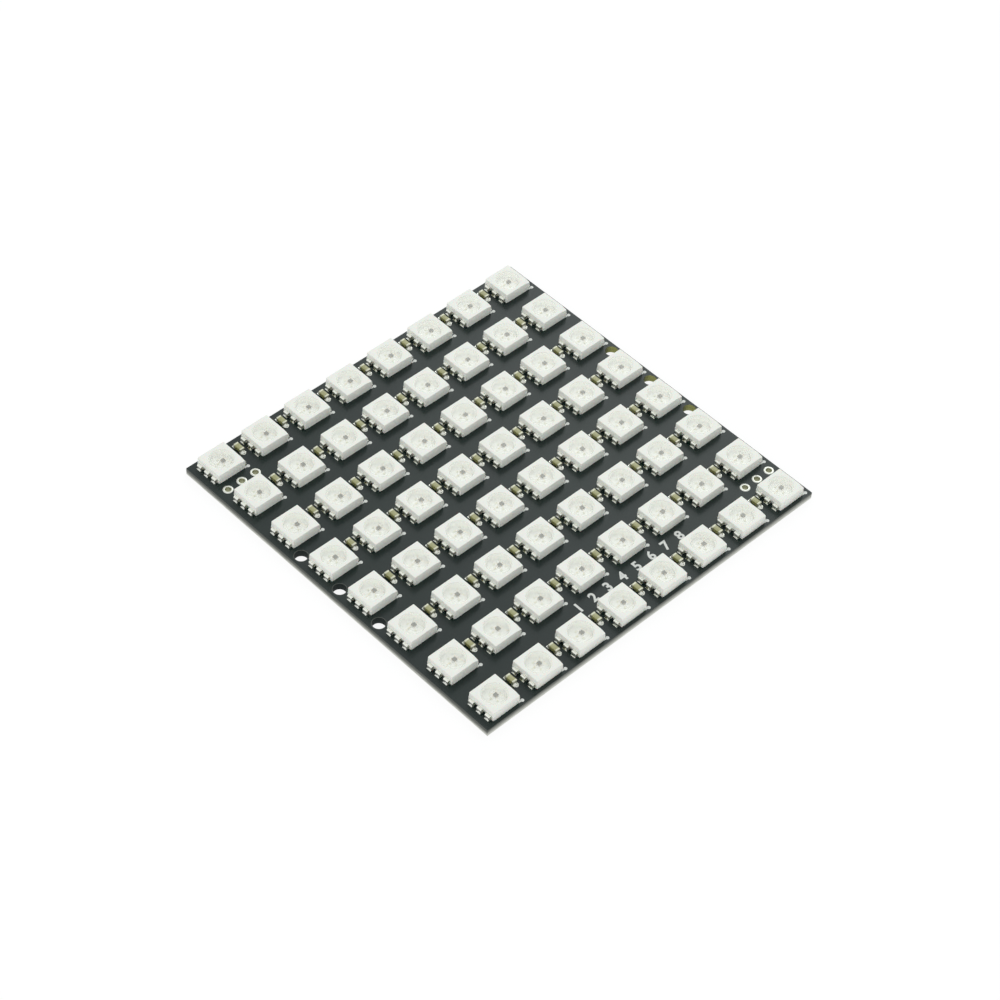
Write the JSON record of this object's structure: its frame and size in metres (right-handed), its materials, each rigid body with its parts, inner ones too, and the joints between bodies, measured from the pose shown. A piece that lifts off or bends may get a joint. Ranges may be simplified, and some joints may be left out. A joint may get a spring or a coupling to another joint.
{
  "type": "rgb led matrix panel",
  "caption": "Thin black circuit board with a square grid of full-colour light packages, small capacitors between them, screw holes at both ends and pin holes in two opposite corners.",
  "frame": {"origin": "middle of the board's underside", "axes": "+Z out of the side with the lights, +X along the rows of lights, row 1 at +Y"},
  "size_m": [0.0646, 0.063, 0.0028],
  "materials": {
    "black_board": "satin black solder mask over glass-filled epoxy laminate",
    "white_housing": "moulded white plastic",
    "tinned_lead": "tinned copper with bright solder",
    "silicon_chip": "bare silicon under clear filling",
    "ceramic_capacitor": "fired ceramic with tinned ends"
  },
  "bodies": {
    "root": {"circuit_board": "black_board", "led_housings_row_1": "white_housing", "led_housings_row_2": "white_housing", "led_housings_row_3": "white_housing", "led_housings_row_4": "white_housing", "led_housings_row_5": "white_housing", "led_housings_row_6": "white_housing", "led_housings_row_7": "white_housing", "led_housings_row_8": "white_housing", "led_leads_row_1": "tinned_lead", "led_leads_row_2": "tinned_lead", "led_leads_row_3": "tinned_lead", "led_leads_row_4": "tinned_lead", "led_leads_row_5": "tinned_lead", "led_leads_row_6": "tinned_lead", "led_leads_row_7": "tinned_lead", "led_leads_row_8": "tinned_lead", "driver_chips_row_1": "silicon_chip", "driver_chips_row_2": "silicon_chip", "driver_chips_row_3": "silicon_chip", "driver_chips_row_4": "silicon_chip", "driver_chips_row_5": "silicon_chip", "driver_chips_row_6": "silicon_chip", "driver_chips_row_7": "silicon_chip", "driver_chips_row_8": "silicon_chip", "capacitors_row_1": "ceramic_capacitor", "capacitors_row_2": "ceramic_capacitor", "capacitors_row_3": "ceramic_capacitor", "capacitors_row_4": "ceramic_capacitor", "capacitors_row_5": "ceramic_capacitor", "capacitors_row_6": "ceramic_capacitor", "capacitors_row_7": "ceramic_capacitor", "capacitors_row_8": "ceramic_capacitor"}
  },
  "joints": []
}
